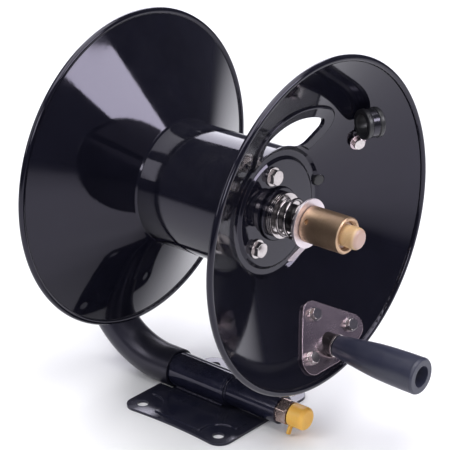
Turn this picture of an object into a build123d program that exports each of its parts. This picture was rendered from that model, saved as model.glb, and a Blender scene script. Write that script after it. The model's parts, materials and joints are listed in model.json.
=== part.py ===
from build123d import *
import math
import os

# Hand-cranked hose reel: two dished discs on a drum, turning on a hollow axle that a bent
# tube carries from one side, over a small bolt-down base plate. All sizes in millimetres.
# Frame: origin in the middle of the base bolt pattern, on the base plate's underside;
# +X along the drum axis to the crank side, +Z up.

# ---------------------------------------------------------------- drum and discs
DRUM_X = 13.0            # drum's middle, along X from the middle of the base bolts
AXIS_Z = 212.4           # height of the drum axis
RIM_R = 152.4            # disc radius over the rolled rim (12 inch discs)
RIM_X = 111.7            # rim's outer plane, from the drum's middle
RIM_BEAD_R = 3.0         # radius of the rolled rim
CONE_ROOT_R = 58.5       # radius where the dish starts, level with the drum tube
CONE_ROOT_X = 58.0       # the dish's outer face there, from the drum's middle
CONE_SLOPE = 0.5745      # rise of the dish along X for each millimetre of radius
SHEET_X = 1.7            # sheet thickness measured along X
PAD_R = 49.0             # flat raised pad at the disc's centre
GROOVE_X = 56.0          # floor of the groove around the pad, outer face
GROOVE_R = (51.5, 57.0)  # inner and outer radius of the groove floor
CONE_START_R = 60.0      # where the groove's outer wall meets the dish
DRUM_R = 58.5            # drum tube outside radius
DRUM_WALL = 1.5
DRUM_END_SLANT = 1.3     # the tube's ends are turned to meet the discs
SLOT_R = (61.0, 91.0)    # kidney slot for the hose, inner and outer radius
SLOT_DEG = (61.0, 118.0)  # and its ends, from +Y towards +Z
SLOT_CORNER_R = 9.0
SLOT_RIM_W = 11.0        # width of the raised rim pressed around the slot
SLOT_RIM_H = 2.4         # height of that rim, measured along X
SLOT_RIM_EDGE_R = 1.5    # largest rounding that still leaves a flat top on the rim
LOCK_HOLE_R = 5.2        # hole beside the hub for a lock pin
LOCK_PLUG_X = (56.6, 58.8)  # rubber plug that closes it
LOCK_HOLE_AT = (59.4, 13.8)  # its radius and its angle in degrees

# ---------------------------------------------------------------- hubs and their screws
HUB_HOLE_R = 24.6        # hole in the disc's centre
HUB_BOSS_R = 24.4
HUB_FLANGE_R = 46.0
HUB_FLANGE_T = 5.0
HUB_INNER_X = 40.0       # inboard end of the hub, from the drum's middle
HUB_OUTER_X = 61.0       # outboard end of the hub, proud of the pad
BUSH_R = 16.95
BUSH_BORE_R = 12.55
HUB_BOLT_PCR = 37.5      # radius of the hub bolt circle
HUB_BOLT_DEG = (101.0, 221.0, 341.0)
M8 = {"shank": 4.0, "hole": 4.4, "flats": 13.0, "head": 5.3, "nut": 6.5, "washer": 8.6, "washer_t": 1.6}
M6 = {"shank": 3.0, "hole": 3.3, "flats": 10.0, "head": 4.0, "nut": 5.0, "washer": 6.4, "washer_t": 1.6}

# ---------------------------------------------------------------- axle and what sits on it
AXLE_R = 12.5
AXLE_BORE_R = 5.0
AXLE_X = (-204.0, 96.0)      # full-diameter length, from the drum's middle
JOURNAL_R = 9.0              # thinner end that the swivel turns on
JOURNAL_END_X = 119.0
END_CAP_R = 15.5             # cap on the axle's closed end
HOUSING_R = 22.0             # cross tube at the top of the arm
HOUSING_X = (-188.0, -141.0)
REAR_WASHER_R = 21.0         # behind the cross tube
REAR_WASHER_T = 2.5
REAR_NUT_FLATS = 36.0
REAR_NUT_T = 7.5
END_CAP_SKIRT = 5.0          # how far the cap reaches over the axle
END_CAP_T = 3.0
SPACER_R = 17.0
THRUST_R = 20.8
THRUST_T = 1.8
THRUST_START_X = 61.5
THRUST_STEP = 2.0
THRUST_COUNT = 3
SPRING_R = 17.0              # to the middle of the wire
WIRE_R = 1.35
SPRING_X = (69.2, 90.6)
SPRING_PITCH = 8.0
TAB_WASHER_X = (92.4, 94.4)
TAB_WASHER_R = 22.4
TAB_W = 9.0
TAB_LENGTH = 18.0            # beyond the washer's edge
TAB_DEG = 250.0              # where the tab stands, from +Y towards +Z
TAB_BEND_DEG = 34.0          # how far it is bent back towards the disc
SWIVEL_R = 16.5
SWIVEL_X = (94.9, 136.0)
SWIVEL_BORE_R = 9.06
SWIVEL_SCREW_X = 101.5       # blind hole for a grub screw in the swivel's side
SWIVEL_SCREW_R = 2.3
SWIVEL_SCREW_DEPTH = 3.0
SWIVEL_SCREW_DEG = 150.0
PORT_R = 11.6
SHOULDER_X = 115.0           # inside the swivel, where its bore widens to the port
PLUG_R = 11.4
PLUG_DOME_R = 9.9            # the part that stands out of the port
PLUG_X = (124.0, 149.5)
PLUG_STEP_X = 132.5
ORING_X = (102.0, 109.0)
ORING_SECTION_R = 1.0

# ---------------------------------------------------------------- crank handle
HANDLE_R = 127.0             # crank radius
HANDLE_DEG = 282.0           # where the handle stands, from +Y towards +Z
BRACKET_T = 2.5
BRACKET_GAP = 0.12           # between the bracket and the disc
BRACKET_BOLTS = ((-29.5, 0.0), (2.5, 29.6), (2.5, -29.6))  # along the dish, across it
BRACKET_LUG_R = 12.5
BRACKET_MID_R = 20.0
SPINDLE_R = 5.0
SPINDLE_HEAD_R = 8.5
SPINDLE_HEAD_T = 5.0
LOCKNUT_FLATS = 17.0         # behind the disc, on the spindle
LOCKNUT_T = 7.5
GRIP_WASHER_R = 10.6
SPACER_COLLAR_R = 9.5
COLLAR_X = 106.8             # outer end of the dark collar, from the drum's middle
GRIP_X = (108.8, 200.0)
GRIP_BORE_R = 5.08
GRIP_RECESS_R = 9.8
GRIP_RECESS_X = 182.0
GRIP_PROFILE = ((108.8, 9.8), (114.0, 10.7), (129.0, 12.7), (150.0, 15.2), (175.0, 16.6), (196.0, 16.9))

# ---------------------------------------------------------------- hose clip on the outer disc
CLIP_AT = (112.1, 44.5)      # radius and angle of the loop on the dish
CLIP_BORE_R = 9.0            # hose outside radius that it holds
CLIP_BAND_R = (12.0, 13.2)
CLIP_LIP_R = 13.8
CLIP_LENGTH = 17.0
CLIP_BAND_W = 6.6
CLIP_TAB_W = 15.0
CLIP_BOLT_DOWN = 30.5        # from the loop's middle to its bolt
CLIP_NECK = 21.0             # flat strip from under the loop to the tab
CLIP_HEIGHT = 14.3           # loop's middle above the dish
CLIP_TAB_LIFT = 0.45         # tab's underside above the dish at the bolt

# ---------------------------------------------------------------- stand
PLATE_T = 2.5
PLATE_X = 62.0               # half sizes of the base plate
PLATE_Y = 66.0
PLATE_CORNER_R = 13.0
PLATE_WAIST = 2.5            # how far the long edges pull in between the corners
BOLT_SPACING_X = 94.0
BOLT_SPACING_Y = 104.0
BOLT_HOLE_R = 5.5
PAD_RISE = 1.2               # height of the two pressed pads on the plate
PAD_EDGE = 9.0
PAD_CLEAR_R = 19.0
SLEEVE_R = 16.7
SLEEVE_BORE_R = 14.2
SLEEVE_X = (-61.0, 18.0)
ARM_R = 19.0
ARM_BORE_R = 17.0
ARM_END_X = -47.0
ARM_BEND_X = -65.0           # where the horizontal run ends
ARM_BEND_R = 86.5
TUBE_Z = PLATE_T + SLEEVE_R  # height of the horizontal run's centre line
WELD_RING_T = 3.0            # ring that closes the sleeve around the inlet pipe
PIPE_R = 13.8
PIPE_BORE_R = 11.5
PIPE_X = (-38.0, 80.0)
SUPPLY_R = 6.0
SUPPLY_BORE_R = 4.0
SUPPLY_START_X = 74.5
SPIGOT_X = 68.0              # inner end of the fitting's spigot
SPIGOT_STOP_X = 75.0         # where the supply pipe stops inside it
FITTING_FLATS = 22.0
FITTING_X = (80.0, 91.5)
NIPPLE_R = 8.2
NIPPLE_END_X = 104.0
FITTING_BORE_R = 5.0
CAP_R = 11.0
CAP_X = (93.0, 109.5)
CAP_BORE_R = 8.4
CAP_TAB = (2.0, 9.5, 5.0)    # pull tab: thickness, length and width
CAP_TAB_DEG = 242.0

os.makedirs("parts", exist_ok=True)


# ================================================================ helpers
def save(name, shape):
    """Write one node. Several solids of one kind share a node."""
    export_step(shape, f"parts/{name}.step")


def on_axis(shape):
    """Bring a shape made around the X axis, from the drum's middle, to its place."""
    return Pos(DRUM_X, 0, AXIS_Z) * shape


def rod(radius, x0, x1):
    """Cylinder along X, from x0 to x1, around the X axis."""
    return Pos(x0, 0, 0) * Rot(0, 90, 0) * upright(radius, x1 - x0)


def ring(outer, inner, x0, x1):
    """Plain round collar along X."""
    return rod(outer, x0, x1) - rod(inner, x0 - 1, x1 + 1)


def turned(points):
    """Solid of revolution about X from a closed outline of (x, radius) points."""
    return revolve(make_face(Polyline(*points, close=True)), Axis.X)


def upright(radius, height):
    """Cylinder standing on the local XY plane."""
    return Cylinder(radius, height, align=(Align.CENTER, Align.CENTER, Align.MIN))


def hexagon(flats, height):
    """Hexagonal prism standing on the local XY plane, with its top corners turned off."""
    prism = extrude(RegularPolygon(flats / 2, 6, major_radius=False), height)
    turned_off = chamfer(upright(flats / 2 * 1.14, height).edges().sort_by(Axis.Z)[-1], flats * 0.06)
    return prism & turned_off


def dish_x(radius):
    """Outer face of the dished disc at a radius, from the drum's middle."""
    return CONE_ROOT_X + CONE_SLOPE * (radius - CONE_ROOT_R)


def dish_plane(radius, degrees, lift=0.0):
    """Plane on the crank-side disc's outer face: local X runs outwards along the dish, local Z
    stands square to it. The place is counted from the drum's middle."""
    turn = math.radians(degrees)
    radial = Vector(0, math.cos(turn), math.sin(turn))
    normal = (Vector(1, 0, 0) - radial * CONE_SLOPE).normalized()
    along = (Vector(CONE_SLOPE, 0, 0) + radial).normalized()
    foot = Vector(dish_x(radius), 0, 0) + radial * radius
    return Plane(origin=foot + normal * lift, x_dir=along, z_dir=normal)


def dish_layer(low, high, r0, r1):
    """Shell that follows the dish between two offsets square to its outer face."""
    stretch = math.hypot(1, CONE_SLOPE)
    outline = [(dish_x(r0) + low * stretch, r0), (dish_x(r1) + low * stretch, r1),
               (dish_x(r1) + high * stretch, r1), (dish_x(r0) + high * stretch, r0)]
    return turned(outline)


def screw(size, grip):
    """Hexagon screw: head above the local XY plane, shank below it for `grip` plus the nut."""
    head = hexagon(size["flats"], size["head"])
    length = grip + size["nut"] + 3.0
    return head + Pos(0, 0, -length) * upright(size["shank"], length)


def nut(size):
    """Hexagon nut standing on the local XY plane."""
    bore = Pos(0, 0, -1) * upright(size["shank"] + 0.05, size["nut"] + 2)
    return hexagon(size["flats"], size["nut"]) - bore


def washer(size, outer=None):
    """Flat washer standing on the local XY plane."""
    disc = upright(outer or size["washer"], size["washer_t"])
    return disc - Pos(0, 0, -1) * upright(size["shank"] + 0.15, size["washer_t"] + 2)


def flipped(shape):
    """Turn a shape over, so that what stood on the local XY plane hangs below it."""
    return Rot(180, 0, 0) * shape


# ================================================================ discs and drum
def disc_section():
    """Half section of a dished disc, with its rolled rim, for the crank side."""
    bead_r = RIM_R - RIM_BEAD_R
    bead_x = RIM_X - RIM_BEAD_R
    outer = [(CONE_ROOT_X, HUB_HOLE_R), (CONE_ROOT_X, PAD_R), (GROOVE_X, GROOVE_R[0])]
    outer += [(GROOVE_X, GROOVE_R[1]), (dish_x(CONE_START_R), CONE_START_R), (dish_x(bead_r), bead_r)]
    inner = [(x - SHEET_X, radius) for x, radius in reversed(outer)]
    sheet = make_face(Polyline(*outer, *inner, close=True))
    bends = [v for v in sheet.vertices() if PAD_R - 1 < v.Y < 63]
    return fillet(bends, 1.6) + Pos(bead_x + 0.4, bead_r) * Circle(RIM_BEAD_R)


def disc():
    """Dished disc with its three hub bolt holes."""
    body = revolve(disc_section(), Axis.X)
    for degrees in HUB_BOLT_DEG:
        body -= hub_bolt_place(degrees) * rod(M8["hole"], CONE_ROOT_X - 4, CONE_ROOT_X + 2)
    return body


def hub_bolt_place(degrees):
    turn = math.radians(degrees)
    return Pos(0, HUB_BOLT_PCR * math.cos(turn), HUB_BOLT_PCR * math.sin(turn))


def slot_outline(margin=0.0):
    """Kidney slot seen along X, or the same shape grown by a margin."""
    a0, a1 = (math.radians(a) for a in SLOT_DEG)
    reach = SLOT_R[1] * 2
    fan = make_face(Polyline((0, 0), (reach * math.cos(a0), reach * math.sin(a0)), (0, reach * 1.2),
                             (reach * math.cos(a1), reach * math.sin(a1)), close=True))
    kidney = (Circle(SLOT_R[1]) - Circle(SLOT_R[0])) & fan
    kidney = fillet(kidney.vertices(), SLOT_CORNER_R)
    return offset(kidney, margin) if margin else kidney


def along_x(sketch, x0, x1):
    """Extrude a sketch drawn as (Y, Z) along X."""
    looking_along_x = Plane(origin=(x0, 0, 0), x_dir=(0, 1, 0), z_dir=(1, 0, 0))
    return extrude(looking_along_x * sketch, x1 - x0)


def lock_hole_place():
    turn = math.radians(LOCK_HOLE_AT[1])
    return Pos(0, LOCK_HOLE_AT[0] * math.cos(turn), LOCK_HOLE_AT[0] * math.sin(turn))


def stands_proud(point):
    """True for a point on top of the slot's raised rim."""
    return point.X > dish_x(math.hypot(point.Y, point.Z)) + SLOT_RIM_H / 2


def outer_disc():
    """Crank-side disc: hose slot with a raised rim, lock hole and fixing holes."""
    body = disc()
    stretch = math.hypot(1, CONE_SLOPE)
    layer = dish_layer(-0.6, SLOT_RIM_H / stretch, 62.5, 118)
    raised = layer & along_x(slot_outline(SLOT_RIM_W), 30, 130)
    top_edges = [e for e in raised.edges() if stands_proud(e.center())]
    raised = fillet(top_edges, SLOT_RIM_EDGE_R)
    body += raised
    body -= along_x(slot_outline(), 20, 130)
    body -= lock_hole_place() * rod(LOCK_HOLE_R, 40, 70)
    for place in bracket_bolt_planes():
        body -= place * Pos(0, 0, -5) * upright(M6["hole"], 10)
    body -= handle_line(rod(SPINDLE_R + 0.2, 85, 115))
    body -= clip_bolt_plane() * Pos(0, 0, -5) * upright(M6["hole"], 10)
    return body


def make_drum():
    save("disc_crank_side", on_axis(outer_disc()))
    save("disc_arm_side", on_axis(mirror(disc(), Plane.YZ)))
    short = GROOVE_X - SHEET_X - 0.1
    long = short + DRUM_END_SLANT
    inner = DRUM_R - DRUM_WALL
    save("drum_tube", on_axis(turned([(-short, inner), (short, inner), (long, DRUM_R), (-long, DRUM_R)])))
    save("lock_hole_plug", on_axis(lock_hole_place() * rod(LOCK_HOLE_R - 0.2, *LOCK_PLUG_X)))


# ================================================================ hubs
def hub():
    """Flanged bearing hub for the crank side."""
    face_x = CONE_ROOT_X - SHEET_X
    body = rod(HUB_BOSS_R, HUB_INNER_X, HUB_OUTER_X)
    body += rod(HUB_FLANGE_R, face_x - HUB_FLANGE_T, face_x)
    body -= rod(BUSH_R + 0.05, HUB_INNER_X - 1, HUB_OUTER_X + 1)
    for degrees in HUB_BOLT_DEG:
        body -= hub_bolt_place(degrees) * rod(M8["hole"], HUB_INNER_X, face_x + 1)
    rim = body.edges().filter_by(GeomType.CIRCLE).filter_by(lambda e: abs(e.radius - HUB_BOSS_R) < 0.1)
    return chamfer(rim.sort_by(Axis.X)[-1], 0.8)


def hub_hardware():
    """Bolts, washers and nuts of one hub: head and washer outside, nut inside."""
    outside = Rot(0, 90, 0)
    face_x = CONE_ROOT_X - SHEET_X - HUB_FLANGE_T
    stack = CONE_ROOT_X + M8["washer_t"] - face_x
    bolts, washers, nuts = [], [], []
    for degrees in HUB_BOLT_DEG:
        place = hub_bolt_place(degrees)
        bolts.append(place * Pos(CONE_ROOT_X + M8["washer_t"], 0, 0) * outside * screw(M8, stack))
        washers.append(place * Pos(CONE_ROOT_X, 0, 0) * outside * washer(M8))
        nuts.append(place * Pos(face_x, 0, 0) * outside * flipped(nut(M8)))
    return bolts, washers, nuts


def make_hubs():
    bush = ring(BUSH_R, BUSH_BORE_R, HUB_INNER_X, HUB_OUTER_X)
    bolts, washers, nuts = hub_hardware()
    for side in ("crank_side", "arm_side"):
        for name, solids in (("hub", [hub()]), ("hub_bush", [bush]), ("hub_bolts", bolts),
                             ("hub_washers", washers), ("hub_nuts", nuts)):
            if side == "arm_side":
                solids = [mirror(s, Plane.YZ) for s in solids]
            save(f"{name}_{side}", Compound([on_axis(s) for s in solids]))


# ================================================================ axle, spring and swivel
def make_axle():
    axle = rod(AXLE_R, *AXLE_X) + rod(JOURNAL_R, AXLE_X[1], JOURNAL_END_X)
    axle -= rod(AXLE_BORE_R, AXLE_X[0] + 12, JOURNAL_END_X + 1)
    for x in ORING_X:
        axle -= ring(JOURNAL_R + 1, JOURNAL_R - 2.1, x - 1.4, x + 1.4)
    arm_x = ARM_BEND_X - ARM_BEND_R - DRUM_X
    axle -= Pos(arm_x, 0, -AXLE_R - 2) * upright(SUPPLY_R + 0.1, AXLE_R + 2)
    axle -= ring(JOURNAL_R + 1, JOURNAL_R - 1.2, 116.2, 117.4)
    save("axle", on_axis(axle))
    oring = Rot(0, 90, 0) * Torus(JOURNAL_R - ORING_SECTION_R - 0.05, ORING_SECTION_R)
    rings = [Pos(x, 0, 0) * oring for x in ORING_X]
    save("swivel_orings", Compound([on_axis(r) for r in rings]))
    save("swivel_snap_ring", on_axis(ring(10.6, JOURNAL_R - 1.1, 116.25, 117.35)))


def make_axle_stack():
    save("axle_spacer", on_axis(ring(SPACER_R, AXLE_R + 0.2, HOUSING_X[1], -HUB_OUTER_X - 0.5)))
    starts = [THRUST_START_X + i * THRUST_STEP for i in range(THRUST_COUNT)]
    discs = [ring(THRUST_R, AXLE_R + 0.2, x, x + THRUST_T) for x in starts]
    save("thrust_washers", Compound([on_axis(d) for d in discs]))
    coil = Helix(pitch=SPRING_PITCH, height=SPRING_X[1] - SPRING_X[0], radius=SPRING_R)
    start = Plane(origin=coil @ 0, z_dir=coil % 0)
    wire = sweep(start * Circle(WIRE_R), path=coil)
    save("drag_spring", on_axis(Pos(SPRING_X[0], 0, 0) * Rot(0, 90, 0) * wire))
    plate = ring(TAB_WASHER_R, AXLE_R + 0.1, *TAB_WASHER_X)
    thick = TAB_WASHER_X[1] - TAB_WASHER_X[0]
    tab = Box(thick, TAB_LENGTH + thick, TAB_W, align=(Align.MAX, Align.MIN, Align.CENTER))
    tab = fillet(tab.edges().filter_by(Axis.X).sort_by(Axis.Y)[-2:], 1.5)
    root = Pos(TAB_WASHER_X[1], TAB_WASHER_R - thick, 0) * Rot(0, 0, TAB_BEND_DEG)
    plate += Rot(TAB_DEG, 0, 0) * root * tab
    save("tab_washer", on_axis(plate))


def make_swivel():
    x0, x1 = SWIVEL_X
    outline = [(x0, SWIVEL_BORE_R), (x0, SWIVEL_R - 0.8), (x0 + 0.8, SWIVEL_R), (x1 - 1.0, SWIVEL_R),
               (x1, SWIVEL_R - 1.0), (x1, PORT_R + 2.0), (x1 - 2.0, PORT_R), (SHOULDER_X, PORT_R),
               (SHOULDER_X, SWIVEL_BORE_R)]
    body = turned(outline)
    body -= rod(AXLE_R + 0.3, x0 - 1, AXLE_X[1] + 0.6)
    screw_hole = Pos(SWIVEL_SCREW_X, 0, SWIVEL_R - SWIVEL_SCREW_DEPTH) * upright(SWIVEL_SCREW_R, SWIVEL_R)
    body -= Rot(SWIVEL_SCREW_DEG - 90, 0, 0) * screw_hole
    save("swivel_body", on_axis(body))
    plug = rod(PLUG_DOME_R, *PLUG_X)
    plug = fillet(plug.edges().filter_by(GeomType.CIRCLE).sort_by(Axis.X)[-1], 4.5)
    plug += rod(PLUG_R, PLUG_X[0], PLUG_STEP_X)
    plug -= rod(PLUG_DOME_R - 2.0, PLUG_X[0] - 1, PLUG_X[1] - 8)
    save("swivel_plug", on_axis(plug))


# ================================================================ crank handle
def handle_line(shape):
    """Move a shape made around the X axis to the crank handle's line."""
    turn = math.radians(HANDLE_DEG)
    return Pos(0, HANDLE_R * math.cos(turn), HANDLE_R * math.sin(turn)) * shape


def bracket_outline():
    """Rounded three-cornered plate, drawn along and across the dish."""
    lugs = [Pos(x, y) * Circle(BRACKET_LUG_R) for x, y in BRACKET_BOLTS]
    lugs.append(Circle(BRACKET_MID_R))
    edges = [e for lug in lugs for e in lug.edges()]
    return make_hull(edges)


def bracket_bolt_planes(lift=0.0):
    """A plane square to the dish at each bracket bolt."""
    planes = []
    stretch = math.hypot(1, CONE_SLOPE)
    for along, across in BRACKET_BOLTS:
        radius = HANDLE_R + along / stretch
        degrees = HANDLE_DEG + math.degrees(across / radius)
        planes.append(dish_plane(radius, degrees, lift))
    return planes


def make_handle():
    layer = dish_layer(BRACKET_GAP, BRACKET_GAP + BRACKET_T, 80, 150)
    block = dish_plane(HANDLE_R, HANDLE_DEG, -12) * extrude(bracket_outline(), 30)
    bracket = layer & block
    bracket -= handle_line(rod(SPINDLE_R + 0.1, 80, 120))
    for place in bracket_bolt_planes():
        bracket -= place * Pos(0, 0, -5) * upright(M6["hole"], 14)
    save("handle_bracket", on_axis(bracket))

    top = BRACKET_GAP + BRACKET_T + 0.12
    under = -SHEET_X / math.hypot(1, CONE_SLOPE) - 0.12
    heads = bracket_bolt_planes(top + M6["washer_t"])
    washers = bracket_bolt_planes(top)
    nuts = bracket_bolt_planes(under)
    save("bracket_bolts", Compound([on_axis(p * screw(M6, top + M6["washer_t"] - under)) for p in heads]))
    save("bracket_washers", Compound([on_axis(p * washer(M6)) for p in washers]))
    save("bracket_nuts", Compound([on_axis(p * flipped(nut(M6))) for p in nuts]))

    collar = handle_line(ring(SPACER_COLLAR_R, SPINDLE_R + 0.05, 80, COLLAR_X))
    collar = collar & dish_layer(BRACKET_GAP + BRACKET_T, 60, 80, 150)
    save("handle_collar", on_axis(collar))
    end_washer = ring(GRIP_WASHER_R, SPINDLE_R + 0.1, COLLAR_X, GRIP_X[0] - 0.5)
    save("handle_washer", on_axis(handle_line(end_washer)))

    head_x = GRIP_RECESS_X + 0.5
    spindle = rod(SPINDLE_R, 79, head_x) + rod(SPINDLE_HEAD_R, head_x, head_x + SPINDLE_HEAD_T)
    save("handle_spindle", on_axis(handle_line(spindle)))
    back_x = dish_x(HANDLE_R) - SHEET_X - 6.8
    locknut = Pos(back_x, 0, 0) * Rot(0, 90, 0) * flipped(hexagon(LOCKNUT_FLATS, LOCKNUT_T))
    locknut -= rod(SPINDLE_R + 0.05, 60, 110)
    save("handle_nut", on_axis(handle_line(locknut)))


def make_grip():
    spine = Spline(*[(x, r) for x, r in GRIP_PROFILE])
    tip_x, tip_r = GRIP_X[1], GRIP_PROFILE[-1][1] - 1.6
    last = GRIP_PROFILE[-1]
    nose = ThreePointArc(last, (tip_x - 1.1, last[1] - 0.4), (tip_x, tip_r))
    rest = Polyline((tip_x, tip_r), (tip_x, 0), (GRIP_X[0], 0), GRIP_PROFILE[0])
    grip = revolve(make_face(Curve() + [spine, nose, rest]), Axis.X)
    grip -= rod(GRIP_BORE_R, GRIP_X[0] - 1, GRIP_X[1])
    grip -= rod(GRIP_RECESS_R, GRIP_RECESS_X, GRIP_X[1] + 1)
    save("handle_grip", on_axis(handle_line(grip)))


# ================================================================ hose clip
def clip_plane(lift=0.0):
    """Plane on the dish under the clip's loop: local X along the hose, local Y up the dish."""
    foot = dish_plane(*CLIP_AT)
    normal = foot.z_dir
    hose_way = Vector(-normal.Y, normal.X, 0).normalized()
    return Plane(origin=foot.origin + normal * lift, x_dir=hose_way, z_dir=normal)


def clip_bolt_plane(lift=0.0):
    """Plane square to the dish at the clip's bolt."""
    beside = clip_plane().from_local_coords(Vector(0, -CLIP_BOLT_DOWN, 0))
    radius = math.hypot(beside.Y, beside.Z)
    return dish_plane(radius, math.degrees(math.atan2(beside.Z, beside.Y)), lift)


def clip_tab_plane():
    """Plane under the clip's tab: at its bolt, square to the dish, local Y towards the loop."""
    foot = clip_bolt_plane(CLIP_TAB_LIFT)
    to_loop = clip_plane().origin - foot.origin
    flat = to_loop - foot.z_dir * to_loop.dot(foot.z_dir)
    return Plane(origin=foot.origin, x_dir=flat.cross(foot.z_dir), z_dir=foot.z_dir)


def loop_ring(outer, inner, x0, x1):
    """Collar of the clip, along the hose, in the clip's own frame."""
    return Pos(0, 0, CLIP_HEIGHT) * ring(outer, inner, x0, x1)


def make_clip():
    half = CLIP_LENGTH / 2
    cushion = loop_ring(CLIP_BAND_R[0] - 0.05, CLIP_BORE_R, -half, half)
    for x0, x1 in ((-half, -CLIP_BAND_W / 2 - 0.1), (CLIP_BAND_W / 2 + 0.1, half)):
        lip = loop_ring(CLIP_LIP_R, CLIP_BORE_R + 0.5, x0, x1)
        lip = fillet(lip.edges().filter_by(GeomType.CIRCLE).filter_by(lambda e: e.radius > 13), 1.4)
        cushion += lip
    save("clip_cushion", on_axis(clip_plane() * cushion))

    thick = CLIP_BAND_R[1] - CLIP_BAND_R[0]
    low = CLIP_HEIGHT - CLIP_BAND_R[1]
    band = loop_ring(CLIP_BAND_R[1], CLIP_BAND_R[0], -CLIP_BAND_W / 2, CLIP_BAND_W / 2)
    neck = Pos(0, -CLIP_NECK / 2, low + thick / 2) * Box(CLIP_BAND_W, CLIP_NECK, thick)
    neck -= Pos(0, 0, CLIP_HEIGHT) * rod(CLIP_BAND_R[0], -20, 20)
    tab = upright(CLIP_TAB_W / 2, thick) - Pos(0, 0, -1) * upright(M6["hole"], thick + 2)
    band = clip_plane() * (band + neck) + clip_tab_plane() * tab
    lead = Pos(0, CLIP_TAB_W / 2, thick / 2) * Box(CLIP_TAB_W - 4, CLIP_TAB_W / 2, thick)
    band += clip_tab_plane() * lead
    save("clip_band", on_axis(band))

    under = -SHEET_X / math.hypot(1, CONE_SLOPE) - 0.12
    top = CLIP_TAB_LIFT + thick
    save("clip_washer", on_axis(clip_bolt_plane(top) * washer(M6, 7.8)))
    bolt = clip_bolt_plane(top + M6["washer_t"]) * screw(M6, top + M6["washer_t"] - under)
    save("clip_bolt", on_axis(bolt))
    save("clip_nut", on_axis(clip_bolt_plane(under) * flipped(nut(M6))))


# ================================================================ stand
def plate_outline():
    """Base plate seen from above: round corners, long edges slightly pulled in."""
    blank = fillet(Rectangle(2 * PLATE_X, 2 * PLATE_Y).vertices(), PLATE_CORNER_R)
    reach = PLATE_X - PLATE_CORNER_R
    bow_r = (reach ** 2 + PLATE_WAIST ** 2) / (2 * PLATE_WAIST)
    for side in (1, -1):
        blank -= Pos(0, side * (PLATE_Y - PLATE_WAIST + bow_r)) * Circle(bow_r)
    return blank


def base_bolt_places():
    return [Pos(x * BOLT_SPACING_X / 2, y * BOLT_SPACING_Y / 2) for x in (1, -1) for y in (1, -1)]


def make_base_plate():
    outline = plate_outline()
    plate = extrude(outline, PLATE_T)
    for side in (1, -1):
        width = PLATE_Y - PAD_EDGE - 17.5
        pad = Pos(0, side * (17.5 + width / 2)) * Rectangle(2 * (PLATE_X - PAD_EDGE), width)
        for place in base_bolt_places():
            pad -= place * Circle(PAD_CLEAR_R)
        pad = fillet(pad.vertices(), 2.0)
        raised = extrude(Pos(0, 0, PLATE_T) * pad, PAD_RISE)
        raised = fillet(raised.faces().sort_by(Axis.Z)[-1].edges(), PAD_RISE * 0.8)
        plate += raised
    for place in base_bolt_places():
        plate -= place * Pos(0, 0, -1) * upright(BOLT_HOLE_R, PLATE_T + 4)
    notch = Box(PLATE_X + ARM_END_X + 1.0, 22, 10, align=(Align.MIN, Align.CENTER, Align.CENTER))
    plate -= Pos(-PLATE_X - 0.5, 0, 0) * notch
    save("base_plate", plate)


def arm_path(start_x, end_z):
    """Centre line of the arm: along X, round the bend and up."""
    corner_z = TUBE_Z + ARM_BEND_R
    stem_x = ARM_BEND_X - ARM_BEND_R
    run = Line((start_x, 0, TUBE_Z), (ARM_BEND_X, 0, TUBE_Z))
    half_way = ARM_BEND_R * math.sin(math.pi / 4)
    middle = (ARM_BEND_X - half_way, 0, corner_z - half_way)
    bend = ThreePointArc((ARM_BEND_X, 0, TUBE_Z), middle, (stem_x, 0, corner_z))
    stem = Line((stem_x, 0, corner_z), (stem_x, 0, end_z))
    return Wire([run, bend, stem])


def bent_tube(outer, inner, start_x, end_z):
    """Round tube along the arm's centre line."""
    path = arm_path(start_x, end_z)
    start = Plane(origin=(start_x, 0, TUBE_Z), z_dir=(-1, 0, 0))
    return sweep(start * Circle(outer), path=path) - sweep(start * Circle(inner), path=path)


def make_arm():
    arm = bent_tube(ARM_R, ARM_BORE_R, ARM_END_X, AXIS_Z)
    arm -= on_axis(rod(HOUSING_R + 0.02, HOUSING_X[0] - 5, HOUSING_X[1] + 5))
    save("arm_tube", arm)
    stem_x = ARM_BEND_X - ARM_BEND_R
    housing = on_axis(ring(HOUSING_R, AXLE_R + 0.1, *HOUSING_X))
    housing -= Pos(stem_x, 0, AXIS_Z - HOUSING_R - 5) * upright(SUPPLY_R + 0.2, HOUSING_R)
    save("axle_housing", housing)
    save("supply_pipe", bent_tube(SUPPLY_R, SUPPLY_BORE_R, SUPPLY_START_X, AXIS_Z - AXLE_BORE_R - 1.5))
    rear_x = HOUSING_X[0]
    nut_x = rear_x - REAR_WASHER_T
    save("axle_rear_washer", on_axis(ring(REAR_WASHER_R, AXLE_R + 0.2, nut_x, rear_x)))
    rear_nut = Pos(nut_x, 0, 0) * Rot(0, 90, 0) * flipped(hexagon(REAR_NUT_FLATS, REAR_NUT_T))
    save("axle_rear_nut", on_axis(rear_nut - rod(AXLE_R + 0.05, rear_x - 20, rear_x)))
    cover = rod(END_CAP_R, AXLE_X[0] - END_CAP_T, AXLE_X[0] + END_CAP_SKIRT)
    cover = fillet(cover.edges().filter_by(GeomType.CIRCLE).sort_by(Axis.X)[0], 2.5)
    cover -= rod(AXLE_R + 0.1, AXLE_X[0], AXLE_X[0] + END_CAP_SKIRT + 1)
    save("axle_end_cap", on_axis(cover))


def low_ring(outer, inner, x0, x1):
    """Collar around the horizontal run's centre line."""
    return Pos(0, 0, TUBE_Z) * ring(outer, inner, x0, x1)


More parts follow.
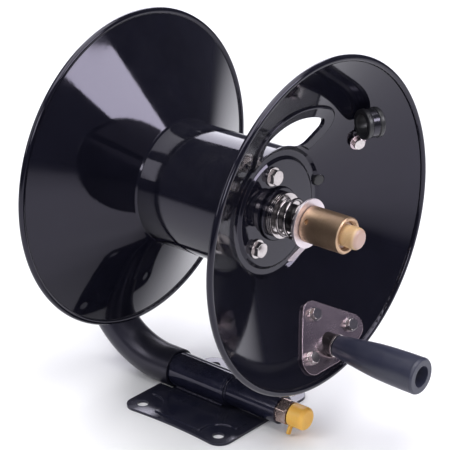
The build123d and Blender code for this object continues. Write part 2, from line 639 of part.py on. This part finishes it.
def make_inlet():
    save("base_sleeve", low_ring(SLEEVE_R, SLEEVE_BORE_R, *SLEEVE_X))
    save("sleeve_end_ring", low_ring(SLEEVE_R, PIPE_R + 0.05, SLEEVE_X[1], SLEEVE_X[1] + WELD_RING_T))
    save("inlet_pipe", low_ring(PIPE_R, PIPE_BORE_R, *PIPE_X))
    x0, x1 = FITTING_X
    body = Pos(x0, 0, TUBE_Z) * Rot(0, 90, 0) * hexagon(FITTING_FLATS, x1 - x0)
    body += low_ring(NIPPLE_R, FITTING_BORE_R, x1 - 1, NIPPLE_END_X)
    body += low_ring(PIPE_BORE_R - 0.1, FITTING_BORE_R, SPIGOT_X, x0 + 1)
    body -= Pos(0, 0, TUBE_Z) * rod(FITTING_BORE_R, SPIGOT_X - 1, x1 + 1)
    body -= Pos(0, 0, TUBE_Z) * rod(SUPPLY_R + 0.1, SPIGOT_X - 1, SPIGOT_STOP_X)
    save("inlet_fitting", body)
    cap = Pos(0, 0, TUBE_Z) * rod(CAP_R, *CAP_X)
    cap = fillet(cap.edges().filter_by(GeomType.CIRCLE).sort_by(Axis.X)[-1], 3.5)
    cap -= Pos(0, 0, TUBE_Z) * rod(CAP_BORE_R, CAP_X[0] - 1, CAP_X[1] - 3)
    tab = Box(*CAP_TAB, align=(Align.MIN, Align.MIN, Align.CENTER))
    tab = fillet(tab.edges().filter_by(Axis.X).sort_by(Axis.Y)[-2:], 1.2)
    cap += Pos(CAP_X[0], 0, TUBE_Z) * Rot(CAP_TAB_DEG, 0, 0) * Pos(0, CAP_R - 1.5, 0) * tab
    save("inlet_cap", cap)


make_base_plate()
make_arm()
make_inlet()
make_drum()
make_hubs()
make_axle()
make_axle_stack()
make_swivel()
make_handle()
make_grip()
make_clip()
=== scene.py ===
import json
import math

import bmesh
import bpy
from mathutils import Euler, Matrix, Vector


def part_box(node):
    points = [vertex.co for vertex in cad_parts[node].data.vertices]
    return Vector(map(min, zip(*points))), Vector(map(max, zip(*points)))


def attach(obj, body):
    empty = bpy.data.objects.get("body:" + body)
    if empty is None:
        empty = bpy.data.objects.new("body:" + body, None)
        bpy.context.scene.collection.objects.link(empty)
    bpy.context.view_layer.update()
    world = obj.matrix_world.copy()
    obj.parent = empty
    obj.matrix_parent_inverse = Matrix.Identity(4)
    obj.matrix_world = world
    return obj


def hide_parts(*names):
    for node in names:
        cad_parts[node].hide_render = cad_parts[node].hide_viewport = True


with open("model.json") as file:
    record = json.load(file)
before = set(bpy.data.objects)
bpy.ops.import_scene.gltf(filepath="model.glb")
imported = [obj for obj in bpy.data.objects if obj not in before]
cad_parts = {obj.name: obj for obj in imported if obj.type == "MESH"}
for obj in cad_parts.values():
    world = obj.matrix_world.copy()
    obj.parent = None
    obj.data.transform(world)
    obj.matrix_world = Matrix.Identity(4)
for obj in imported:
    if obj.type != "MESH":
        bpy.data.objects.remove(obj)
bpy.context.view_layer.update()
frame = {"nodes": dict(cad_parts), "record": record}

nodes = frame["nodes"]
scene = bpy.context.scene

# Places shared with the metal parts, in metres.
DRUM_X = 0.013  # the drum's middle, from which the places along the axle are counted
AXIS_Z = 0.2124  # height of the axle
TUBE_Z = 0.0192  # height of the flat run of tube over the base plate

QUARTER_TURN = math.radians(90)
SHARP_EDGE = math.radians(40)  # edges that turn more than this stay crisp
CORNER_SAMPLES = 6


# ------------------------------------------------------------------ node helpers
def feed(tree, socket, value):
    """Link another node's output into a socket, or set the socket to a constant."""
    if isinstance(value, bpy.types.NodeSocket):
        tree.links.new(value, socket)
    else:
        socket.default_value = value


def put(tree, kind, **sockets):
    """A node with its sockets fed by name, or by place where the name is i0, i1 and so on."""
    made = tree.nodes.new(kind)
    for key, value in sockets.items():
        feed(tree, made.inputs[int(key[1:]) if key[1:].isdigit() else key], value)
    return made


def sum_up(tree, how, a, b=0.0, clamp=False):
    """Math node."""
    made = put(tree, "ShaderNodeMath", i0=a, i1=b)
    made.operation = how
    made.use_clamp = clamp
    return made.outputs[0]


def spread(tree, value, low, high, to_low=0.0, to_high=1.0):
    """Map Range node."""
    made = put(tree, "ShaderNodeMapRange", i0=value, i1=low, i2=high, i3=to_low, i4=to_high)
    return made.outputs[0]


def mix_paint(tree, mask, first, second):
    """Mix two colours by a mask."""
    made = tree.nodes.new("ShaderNodeMix")
    made.data_type = "RGBA"
    for place, value in ((0, mask), (6, first), (7, second)):  # the colour sockets of a Mix node
        feed(tree, made.inputs[place], value)
    return made.outputs[2]


def rounded_normal(tree, radius):
    """The surface normal as if every edge were rounded by a radius."""
    made = put(tree, "ShaderNodeBevel", Radius=radius)
    made.samples = CORNER_SAMPLES
    return made.outputs[0]


def noise(tree, vector, scale, detail, **more):
    """Value of a Noise Texture node."""
    return put(tree, "ShaderNodeTexNoise", Vector=vector, Scale=scale, Detail=detail, **more).outputs[0]


# ------------------------------------------------------------------ shared effects
NUMBER, VECTOR = "NodeSocketFloat", "NodeSocketVector"


def shared_effect(name, result, **inputs):
    """Empty shader group that takes a Vector and other inputs, and gives one number.

    An input is a number or a vector, whichever its starting value is.
    """
    tree = bpy.data.node_groups.new(name, "ShaderNodeTree")
    tree.interface.new_socket("Vector", in_out="INPUT", socket_type=VECTOR)
    for label, start in inputs.items():
        kind = NUMBER if isinstance(start, float) else VECTOR
        tree.interface.new_socket(label, in_out="INPUT", socket_type=kind).default_value = start
    tree.interface.new_socket(result, in_out="OUTPUT", socket_type=NUMBER)
    return tree, tree.nodes.new("NodeGroupInput").outputs, tree.nodes.new("NodeGroupOutput").inputs[0]


def make_orange_peel():
    """The slow ripple and fine pimples of sprayed and baked powder coat."""
    tree, take, give = shared_effect("orange_peel", "Height", Size=300.0)
    ripple = noise(tree, take["Vector"], take["Size"], 1.0)
    pimples = noise(tree, take["Vector"], sum_up(tree, "MULTIPLY", take["Size"], 4.0), 2.0)
    tree.links.new(sum_up(tree, "ADD", ripple, sum_up(tree, "MULTIPLY", pimples, 0.25)), give)
    return tree


def make_edge_rub():
    """Where corners and rims are rubbed, broken up by noise."""
    tree, take, give = shared_effect("edge_rub", "Mask", Reach=0.0012, Breakup=160.0)
    true_normal = tree.nodes.new("ShaderNodeNewGeometry").outputs["Normal"]
    likeness = put(tree, "ShaderNodeVectorMath", i0=rounded_normal(tree, take["Reach"]), i1=true_normal)
    likeness.operation = "DOT_PRODUCT"
    corner = spread(tree, likeness.outputs["Value"], 0.995, 0.80)
    broken = spread(tree, noise(tree, take["Vector"], take["Breakup"], 4.0, Roughness=0.65), 0.40, 0.62)
    tree.links.new(sum_up(tree, "MULTIPLY", corner, broken, True), give)
    return tree


def make_settled_dust():
    """Thin dust on faces that look up."""
    tree, take, give = shared_effect("settled_dust", "Mask", Size=60.0)
    true_normal = tree.nodes.new("ShaderNodeNewGeometry").outputs["Normal"]
    upward = spread(tree, put(tree, "ShaderNodeSeparateXYZ", Vector=true_normal).outputs["Z"], 0.2, 1.0)
    cloud = noise(tree, take["Vector"], take["Size"], 5.0, Roughness=0.7)
    speck = noise(tree, take["Vector"], sum_up(tree, "MULTIPLY", take["Size"], 30.0), 1.0)
    lying = sum_up(tree, "MULTIPLY", spread(tree, cloud, 0.35, 0.75), spread(tree, speck, 0.35, 0.7))
    tree.links.new(sum_up(tree, "MULTIPLY", upward, lying, True), give)
    return tree


def make_hand_smudge():
    """Slow patches where hands and cloths have wiped a finish."""
    tree, take, give = shared_effect("hand_smudge", "Value", Size=22.0)
    patches = noise(tree, take["Vector"], take["Size"], 4.0, Roughness=0.6, Distortion=1.1)
    tree.links.new(spread(tree, patches, 0.3, 0.7), give)
    return tree


def make_tool_lines():
    """Fine parallel lines; the Stretch input squeezes the pattern along each direction."""
    tree, take, give = shared_effect("tool_lines", "Value", Stretch=(1.0, 1.0, 1.0))
    squeezed = put(tree, "ShaderNodeVectorMath", i0=take["Vector"], i1=take["Stretch"])
    squeezed.operation = "MULTIPLY"
    tree.links.new(noise(tree, squeezed.outputs[0], 1.0, 3.0, Roughness=0.7), give)
    return tree


EFFECTS = {
    "orange_peel": make_orange_peel(),
    "edge_rub": make_edge_rub(),
    "settled_dust": make_settled_dust(),
    "hand_smudge": make_hand_smudge(),
    "tool_lines": make_tool_lines(),
}


def effect(tree, name, **sockets):
    """Place a shared effect in a material; returns its first output."""
    made = tree.nodes.new("ShaderNodeGroup")
    made.node_tree = EFFECTS[name]
    for key, value in sockets.items():
        feed(tree, made.inputs[key], value)
    return made.outputs[0]


# ------------------------------------------------------------------ kinds of finish
FINISHES = {}


def start_finish(name):
    """New entry in FINISHES; returns its tree, its Principled shader and the object's coordinates."""
    finish = bpy.data.materials.new(name)
    finish.use_nodes = True
    FINISHES[name] = finish
    tree = finish.node_tree
    shader = next(n for n in tree.nodes if n.type == "BSDF_PRINCIPLED")
    return tree, shader, tree.nodes.new("ShaderNodeTexCoord").outputs["Object"]


def colour(r, g, b):
    """Opaque colour."""
    return (r, g, b, 1.0)


def part_of(tree, mask, share):
    """A mask brought down to a share of itself."""
    return sum_up(tree, "MULTIPLY", mask, share)


def raise_up(tree, shader, height, distance, corner):
    """Bump from a height, over corners that are rounded by a small radius."""
    bump = put(tree, "ShaderNodeBump", Height=height, Distance=distance, Normal=rounded_normal(tree, corner))
    tree.links.new(bump.outputs[0], shader.inputs["Normal"])


def painted(name, base, worn, gloss, peel_size, peel_depth, dust=0.10, spec=0.5):
    """Powder coat: orange peel, wiped patches, rubbed edges and a little dust."""
    tree, shader, place = start_finish(name)
    wiped = effect(tree, "hand_smudge", Vector=place, Size=16.0)
    rubbed = effect(tree, "edge_rub", Vector=place, Reach=0.0010, Breakup=240.0)
    dusty = effect(tree, "settled_dust", Vector=place, Size=45.0)
    deep = mix_paint(tree, wiped, colour(*base), colour(*(c * 1.5 for c in base)))
    edged = mix_paint(tree, part_of(tree, rubbed, 0.5), deep, colour(*worn))
    topped = mix_paint(tree, part_of(tree, dusty, dust), edged, colour(0.30, 0.29, 0.30))
    tree.links.new(topped, shader.inputs["Base Color"])
    dust_matte = part_of(tree, dusty, 2.5 * dust)
    rough = sum_up(tree, "ADD", spread(tree, wiped, 0.0, 1.0, *gloss), dust_matte, True)
    tree.links.new(rough, shader.inputs["Roughness"])
    shader.inputs["Specular IOR Level"].default_value = spec
    shader.inputs["Specular Tint"].default_value = colour(0.86, 0.82, 1.0)
    raise_up(tree, shader, effect(tree, "orange_peel", Vector=place, Size=peel_size), peel_depth, 0.0006)


def bare_metal(name, base, dark, gloss, stretch, line_depth, mottle=90.0, stain=0.35, streak=0.25,
               corner=0.0004):
    """Metal with tool lines, a mottled tone, dark stains in it and brighter rubbed edges."""
    tree, shader, place = start_finish(name)
    lines = effect(tree, "tool_lines", Vector=place, Stretch=stretch)
    wiped = effect(tree, "hand_smudge", Vector=place, Size=mottle)
    rubbed = effect(tree, "edge_rub", Vector=place, Reach=0.0008, Breakup=300.0)
    stained = mix_paint(tree, part_of(tree, wiped, stain), colour(*base), colour(*dark))
    lined = mix_paint(tree, spread(tree, lines, 0.35, 0.65, 0.0, streak), stained, colour(*dark))
    bright = colour(*(min(1.0, c * 1.25) for c in base))
    edged = mix_paint(tree, part_of(tree, rubbed, 0.7), lined, bright)
    tree.links.new(edged, shader.inputs["Base Color"])
    rough = spread(tree, sum_up(tree, "ADD", wiped, lines), 0.3, 1.5, *gloss)
    tree.links.new(rough, shader.inputs["Roughness"])
    shader.inputs["Metallic"].default_value = 1.0
    raise_up(tree, shader, lines, line_depth, corner)


def moulded(name, base, shade, gloss, grain_size, grain_depth, soft=0.0):
    """Moulded plastic or rubber: fine grain, slow tone changes and scuffed edges."""
    tree, shader, place = start_finish(name)
    wiped = effect(tree, "hand_smudge", Vector=place, Size=40.0)
    rubbed = effect(tree, "edge_rub", Vector=place, Reach=0.0012, Breakup=200.0)
    toned = mix_paint(tree, wiped, colour(*base), colour(*shade))
    scuffed = colour(*(min(1.0, c * 1.6 + 0.02) for c in base))
    edged = mix_paint(tree, part_of(tree, rubbed, 0.4), toned, scuffed)
    tree.links.new(edged, shader.inputs["Base Color"])
    tree.links.new(spread(tree, wiped, 0.0, 1.0, *gloss), shader.inputs["Roughness"])
    shader.inputs["Subsurface Weight"].default_value = soft
    shader.inputs["Subsurface Radius"].default_value = (1.0, 0.6, 0.2)
    shader.inputs["Subsurface Scale"].default_value = 0.004
    grain = put(tree, "ShaderNodeTexVoronoi", Vector=place, Scale=grain_size).outputs["Distance"]
    pebble = noise(tree, place, grain_size * 1.7, 3.0)
    raise_up(tree, shader, sum_up(tree, "ADD", part_of(tree, grain, 0.6), pebble), grain_depth, 0.0007)


def yellow_rim(name, rim):
    """Turn the sides of a plug yellow, its own colour, and leave the face that looks along the axle pale
    pink as a painted reflection.
    """
    tree = FINISHES[name].node_tree
    base = next(n for n in tree.nodes if n.type == "BSDF_PRINCIPLED").inputs["Base Color"]
    own_normal = put(tree, "ShaderNodeTexCoord").outputs["Normal"]
    along = put(tree, "ShaderNodeSeparateXYZ", Vector=own_normal).outputs["X"]
    side = spread(tree, along, 0.35, 0.75, 1.0, 0.0)
    tree.links.new(mix_paint(tree, side, base.links[0].from_socket, colour(*rim)), base)


# ------------------------------------------------------------------ the reel's finishes
# Each gloss is the roughness where the finish is clean and where it is wiped or worn.
def mix_black_paints():
    """Three blacks: wet-looking drum, bluer stand and satin tube; and the clip's blacking."""
    painted("gloss_black_paint", base=(0.0035, 0.0035, 0.0065), worn=(0.030, 0.030, 0.036),
            gloss=(0.035, 0.085), peel_size=260.0, peel_depth=0.000010, dust=0.05, spec=0.42)
    painted("stand_black_paint", base=(0.0075, 0.0080, 0.0165), worn=(0.035, 0.035, 0.042),
            gloss=(0.05, 0.12), peel_size=260.0, peel_depth=0.000010)
    painted("satin_black_paint", base=(0.0075, 0.0075, 0.013), worn=(0.05, 0.05, 0.055),
            gloss=(0.26, 0.36), peel_size=500.0, peel_depth=0.00004, dust=0.05, spec=0.45)
    painted("black_clip_steel", base=(0.008, 0.008, 0.010), worn=(0.10, 0.10, 0.11),
            gloss=(0.16, 0.28), peel_size=500.0, peel_depth=0.00002)


def finish_metals():
    """Plated, turned and plain metals."""
    turned = (2600.0, 60.0, 60.0)  # lines that run round the X axis, as a lathe leaves them
    rolled = (60.0, 60.0, 1500.0)  # lines that lie level, as on rolled sheet
    even = (60.0, 60.0, 60.0)  # a grain with no lines
    bare_metal("zinc_plate", base=(0.46, 0.375, 0.415), dark=(0.33, 0.265, 0.30), gloss=(0.20, 0.28),
               stretch=rolled, line_depth=0.000001, mottle=30.0, stain=0.18, streak=0.05, corner=0.0008)
    bare_metal("washer_zinc", base=(0.80, 0.73, 0.77), dark=(0.66, 0.59, 0.63), gloss=(0.42, 0.52),
               stretch=turned, line_depth=0.000002, mottle=60.0, stain=0.25, streak=0.05)
    bare_metal("bright_steel", base=(0.60, 0.56, 0.56), dark=(0.26, 0.23, 0.23), gloss=(0.10, 0.24),
               stretch=turned, line_depth=0.00001, mottle=200.0)
    bare_metal("spring_steel", base=(0.40, 0.37, 0.375), dark=(0.10, 0.09, 0.095), gloss=(0.10, 0.22),
               stretch=turned, line_depth=0.00001, mottle=200.0, stain=0.4)
    bare_metal("dark_axle_steel", base=(0.11, 0.105, 0.11), dark=(0.03, 0.03, 0.032), gloss=(0.25, 0.42),
               stretch=turned, line_depth=0.00002)
    bare_metal("copper_pipe", base=(0.55, 0.30, 0.18), dark=(0.25, 0.12, 0.07), gloss=(0.25, 0.42),
               stretch=even, line_depth=0.00002)
    bare_metal("nickel_brass", base=(0.58, 0.46, 0.43), dark=(0.20, 0.13, 0.10), gloss=(0.16, 0.32),
               stretch=turned, line_depth=0.00001, mottle=160.0, stain=0.5)
    bare_metal("swivel_brass", base=(0.58, 0.41, 0.28), dark=(0.34, 0.22, 0.13), gloss=(0.36, 0.48),
               stretch=turned, line_depth=0.00003, mottle=70.0)
    bare_metal("bearing_bronze", base=(0.42, 0.28, 0.14), dark=(0.16, 0.09, 0.04), gloss=(0.30, 0.45),
               stretch=turned, line_depth=0.00003)


def mould_plastics():
    """Rubber, the hard grip, the end cap and the two soft shipping caps."""
    moulded("black_rubber", base=(0.010, 0.010, 0.012), shade=(0.020, 0.020, 0.023), gloss=(0.32, 0.48),
            grain_size=1400.0, grain_depth=0.00002)
    moulded("grip_plastic", base=(0.022, 0.024, 0.045), shade=(0.032, 0.034, 0.056), gloss=(0.34, 0.46),
            grain_size=1100.0, grain_depth=0.00003)
    moulded("black_cap_plastic", base=(0.012, 0.012, 0.013), shade=(0.020, 0.020, 0.022), gloss=(0.35, 0.48),
            grain_size=1200.0, grain_depth=0.00003)
    moulded("yellow_plastic", base=(0.90, 0.53, 0.10), shade=(0.80, 0.42, 0.06), gloss=(0.30, 0.45),
            grain_size=900.0, grain_depth=0.00003, soft=0.3)
    # plug_plastic's pale pinkish base is a painted reflection on the plug's front face; yellow_rim gives the
    # sides the plug's own yellow.
    moulded("plug_plastic", base=(0.44, 0.295, 0.265), shade=(0.46, 0.31, 0.25), gloss=(0.22, 0.34),
            grain_size=700.0, grain_depth=0.00002, soft=0.15)
    yellow_rim("plug_plastic", (0.56, 0.375, 0.20))


SPECIAL_FINISHES = {  # parts whose look differs from the rest of their slot
    "swivel_plug": "plug_plastic",
    "tab_washer": "washer_zinc",
    "base_plate": "stand_black_paint",
    "base_sleeve": "stand_black_paint",
    "inlet_pipe": "stand_black_paint",
    "sleeve_end_ring": "stand_black_paint",
}


def dress_parts():
    """Give every part of the frame the finish of its slot, or its special one."""
    for part in frame["record"]["subparts"]:
        coats = nodes[part["node"]].data.materials
        coats.clear()
        coats.append(FINISHES[SPECIAL_FINISHES.get(part["node"], part["material_slot"])])


mix_black_paints()
finish_metals()
mould_plastics()
dress_parts()


# ------------------------------------------------------------------ new pieces
def hand_over(bm, name, body, finish, slot, *stands_for):
    """Close a bmesh into a smooth piece that rides on a body and may stand for metal parts."""
    bmesh.ops.remove_doubles(bm, verts=bm.verts[:], dist=1e-6)
    bmesh.ops.recalc_face_normals(bm, faces=bm.faces[:])
    mesh = bpy.data.meshes.new(name)
    bm.to_mesh(mesh)
    bm.free()
    mesh.polygons.foreach_set("use_smooth", [True] * len(mesh.polygons))
    mesh.set_sharp_from_angle(angle=SHARP_EDGE)
    mesh.materials.append(FINISHES[finish])
    piece = bpy.data.objects.new(name, mesh)
    scene.collection.objects.link(piece)
    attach(piece, body)
    if stands_for:
        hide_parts(*stands_for)


def turn_up(bm, verts, axis):
    """Quarter turn of some vertices about the origin."""
    bmesh.ops.rotate(bm, verts=verts, cent=(0, 0, 0), matrix=Matrix.Rotation(QUARTER_TURN, 3, axis))


def wind_wire(bm, ring, turns, rise):
    """Carry a ring of wire round the X axis while it moves along X; returns the last ring."""
    steps = round(turns * 64)
    made = bmesh.ops.spin(
        bm, geom=ring, cent=(0.0, 0.0, 0.0), axis=(1.0, 0.0, 0.0), dvec=(rise / steps, 0.0, 0.0),
        angle=turns * math.tau, steps=steps, use_merge=False, use_duplicate=False)
    return made["geom_last"]


def wind_drag_spring():
    """Compression spring with closed end turns, between the thrust washers and the tab washer."""
    wire = 0.00135
    coil_r = 0.0170
    start_x, end_x = 0.0692, 0.0906
    end_turns, open_turns = 0.7, 1.2
    end_rise = wire * 1.7
    open_rise = end_x - start_x - 2 * wire - 2 * end_rise
    bm = bmesh.new()
    bmesh.ops.create_circle(bm, cap_ends=True, segments=14, radius=wire)
    beside_axle = Matrix.Translation((start_x + wire, 0.0, coil_r))
    stood_up = Matrix.Rotation(QUARTER_TURN, 4, "X")
    bmesh.ops.transform(bm, verts=bm.verts[:], matrix=beside_axle @ stood_up)
    ring = bm.verts[:] + bm.edges[:] + bm.faces[:]
    for turns, rise in ((end_turns, end_rise), (open_turns, open_rise), (end_turns, end_rise)):
        ring = wind_wire(bm, ring, turns, rise)
    bmesh.ops.translate(bm, verts=bm.verts[:], vec=(DRUM_X, 0.0, AXIS_Z))
    hand_over(bm, "wound_drag_spring", "stand", "spring_steel", "bright_steel", "drag_spring")


def lay_weld(bm, start, length, radius):
    """Straight weld bead along X, with the scales that each dip of the rod leaves."""
    scale_length = 0.0017
    steps = 120
    old = set(bm.verts)
    bmesh.ops.create_circle(bm, cap_ends=True, segments=12, radius=radius)
    ring = [v for v in bm.verts if v not in old]
    turn_up(bm, ring, "Y")
    bmesh.ops.translate(bm, verts=ring, vec=start)
    edges = [e for e in bm.edges if e.verts[0] in ring]
    faces = [f for f in bm.faces if f.verts[0] in ring]
    bmesh.ops.spin(bm, geom=ring + edges + faces, cent=start, axis=(1, 0, 0), dvec=(length / steps, 0, 0),
                   angle=0.0, steps=steps, use_duplicate=False)
    for v in bm.verts:
        if v in old:
            continue
        along = v.co.x - start[0]
        swell = 1.0 - 0.16 * (along / scale_length % 1.0) ** 2 + 0.05 * math.sin(along * 900.0)
        from_end = min(along, length - along) / radius
        swell *= min(1.0, 0.35 + 0.65 * max(0.0, from_end))
        v.co.y = start[1] + (v.co.y - start[1]) * swell
        v.co.z = start[2] + (v.co.z - start[2]) * swell


def weld_sleeve_to_plate():
    """A bead along each side of the base sleeve, low down where it sits on the plate."""
    bm = bmesh.new()
    for side in (1, -1):
        lay_weld(bm, start=(-0.044, side * 0.0082, 0.0036), length=0.058, radius=0.0022)
    hand_over(bm, "sleeve_welds", "stand", "stand_black_paint", "gloss_black_paint")


def weld_round(bm, centre, axis, reach, radius, beads):
    """Ring of weld round a tube, in overlapping scales."""
    beside = Matrix.Translation((reach, 0, 0)) @ Matrix.Rotation(QUARTER_TURN, 4, "X")
    bmesh.ops.create_circle(bm, segments=10, radius=radius, matrix=beside)
    bmesh.ops.spin(bm, geom=bm.verts[:] + bm.edges[:], cent=(0, 0, 0), axis=(0, 0, 1), dvec=(0, 0, 0),
                   angle=math.tau, steps=beads * 4, use_merge=True, use_duplicate=False)
    for v in bm.verts:
        scales = math.atan2(v.co.y, v.co.x) / math.tau * beads
        swell = 1.0 - 0.18 * (scales % 1.0) ** 2
        core = Vector((v.co.x, v.co.y, 0.0)).normalized() * reach
        v.co = core + (v.co - core) * swell
    turn = Vector(axis).to_track_quat("Z", "Y").to_matrix().to_4x4()
    bmesh.ops.transform(bm, verts=bm.verts[:], matrix=Matrix.Translation(centre) @ turn)


def weld_inlet_ring():
    """Thin bead where the inlet pipe comes out of the sleeve's end ring."""
    bm = bmesh.new()
    weld_round(bm, centre=(0.0212, 0.0, TUBE_Z), axis=(1, 0, 0), reach=0.0140, radius=0.0014, beads=48)
    hand_over(bm, "inlet_ring_weld", "stand", "stand_black_paint", "gloss_black_paint")


def press_lock_hole_shade_plug():
    """Black rubber plug with a slanted, rounded face that fills the lock hole beside the hub, as painted
    shade: it stands in for the dark inside of the hole.
    """
    low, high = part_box("lock_hole_plug")
    middle = (low + high) / 2
    radius, depth = 0.00512, 0.0034
    slant = 0.36  # rise of the face for each metre outward, as the dish slopes there
    proud = 0.0004
    bm = bmesh.new()
    bmesh.ops.create_cone(bm, cap_ends=True, segments=48, radius1=radius, radius2=radius, depth=depth)
    brim = [e for e in bm.edges if all(v.co.z > 0 for v in e.verts)]
    bmesh.ops.bevel(bm, geom=brim, offset=0.0009, offset_type="OFFSET", affect="EDGES", segments=4,
                    profile=0.5, material=-1)
    turn_up(bm, bm.verts[:], "Y")
    outward = Vector((0.0, middle.y, middle.z - AXIS_Z)).normalized()
    for v in bm.verts:
        v.co.x += slant * (v.co.y * outward.y + v.co.z * outward.z)
    bmesh.ops.translate(bm, verts=bm.verts[:], vec=(middle.x + proud, middle.y, middle.z))
    hand_over(bm, "lock_hole_shade_plug", "drum", "black_rubber", "black_rubber", "lock_hole_plug")


def weld_stem_to_housing():
    """Weld along the saddle where the upright stem meets the cross tube."""
    stem_r = 0.019
    widest = 0.0205  # past this the saddle is taken as level
    low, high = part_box("axle_housing")
    housing_r = (high.z - low.z) / 2
    stem_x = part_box("arm_tube")[0].x + stem_r
    bm = bmesh.new()
    weld_round(bm, centre=(stem_x, 0.0, 0.0), axis=(0, 0, 1), reach=0.0193, radius=0.0017, beads=40)
    for v in bm.verts:
        v.co.z += AXIS_Z - math.sqrt(housing_r ** 2 - min(abs(v.co.y), widest) ** 2)
    hand_over(bm, "stem_weld", "stand", "satin_black_paint", "satin_black_paint")


wind_drag_spring()
press_lock_hole_shade_plug()
weld_stem_to_housing()
weld_sleeve_to_plate()
weld_inlet_ring()


# ------------------------------------------------------------------ stage, lights and camera
def lay_floor():
    """Wide sheet of pale paper under the reel."""
    bm = bmesh.new()
    bmesh.ops.create_grid(bm, x_segments=1, y_segments=1, size=9.0)
    sheet = bpy.data.meshes.new("studio_floor")
    bm.to_mesh(sheet)
    bm.free()
    floor = bpy.data.objects.new("studio_floor", sheet)
    scene.collection.objects.link(floor)
    tree, shader, place = start_finish("studio_paper")
    tone = noise(tree, place, 1.5, 2.0)
    pale = mix_paint(tree, tone, colour(0.86, 0.86, 0.87), colour(0.90, 0.90, 0.905))
    tree.links.new(pale, shader.inputs["Base Color"])
    shader.inputs["Roughness"].default_value = 0.9
    shader.inputs["Specular IOR Level"].default_value = 0.1
    sheet.materials.append(FINISHES["studio_paper"])


def soft_box(name, spot, size, power, aim=(0.0, 0.0, 0.2), tint=(1.0, 1.0, 1.0)):
    """Rectangular lamp at a spot, aimed at the reel's middle or at another point."""
    lamp = bpy.data.lights.new(name, "AREA")
    lamp.shape = "RECTANGLE"
    lamp.size, lamp.size_y = size
    lamp.energy = power
    lamp.color = tint
    holder = bpy.data.objects.new(name, lamp)
    holder.location = spot
    holder.rotation_euler = (Vector(aim) - Vector(spot)).to_track_quat("-Z", "Y").to_euler()
    scene.collection.objects.link(holder)


def light_studio():
    """Dim grey air and five soft boxes."""
    world = bpy.data.worlds.new("studio_air")
    world.use_nodes = True
    air = world.node_tree.nodes["Background"].inputs
    air["Color"].default_value = colour(0.20, 0.20, 0.27)
    air["Strength"].default_value = 0.5
    scene.world = world
    soft_box("box_over", spot=(0.1, -0.2, 2.2), size=(2.2, 2.2), power=62.0)
    soft_box("box_crank_side", spot=(0.80, 0.22, 0.74), size=(0.46, 0.22), power=3.8,
             aim=(-0.08, -0.05, 0.31), tint=(0.95, 0.93, 1.0))
    soft_box("box_behind", spot=(-1.3, 1.0, 1.2), size=(1.4, 0.9), power=20.0, tint=(0.93, 0.92, 1.0))
    soft_box("box_shoulder", spot=(1.7, -1.5, 1.25), size=(0.7, 0.7), power=13.0)
    soft_box("box_front", spot=(-0.9, -1.7, 1.3), size=(0.5, 1.2), power=10.0)


def set_camera():
    """Long lens above the crank side, looking down on the reel."""
    look_down, turn = 23.04, 40.47  # degrees
    eye = bpy.data.cameras.new("camera")
    eye.lens = 144.5
    eye.sensor_width = 36.0
    holder = bpy.data.objects.new("camera", eye)
    holder.location = (0.9879, -1.1454, 0.8248)
    holder.rotation_euler = Euler((math.radians(90 - look_down), 0.0, math.radians(turn)))
    scene.collection.objects.link(holder)
    scene.camera = holder


lay_floor()
light_studio()
set_camera()
scene.view_settings.view_transform = "Standard"
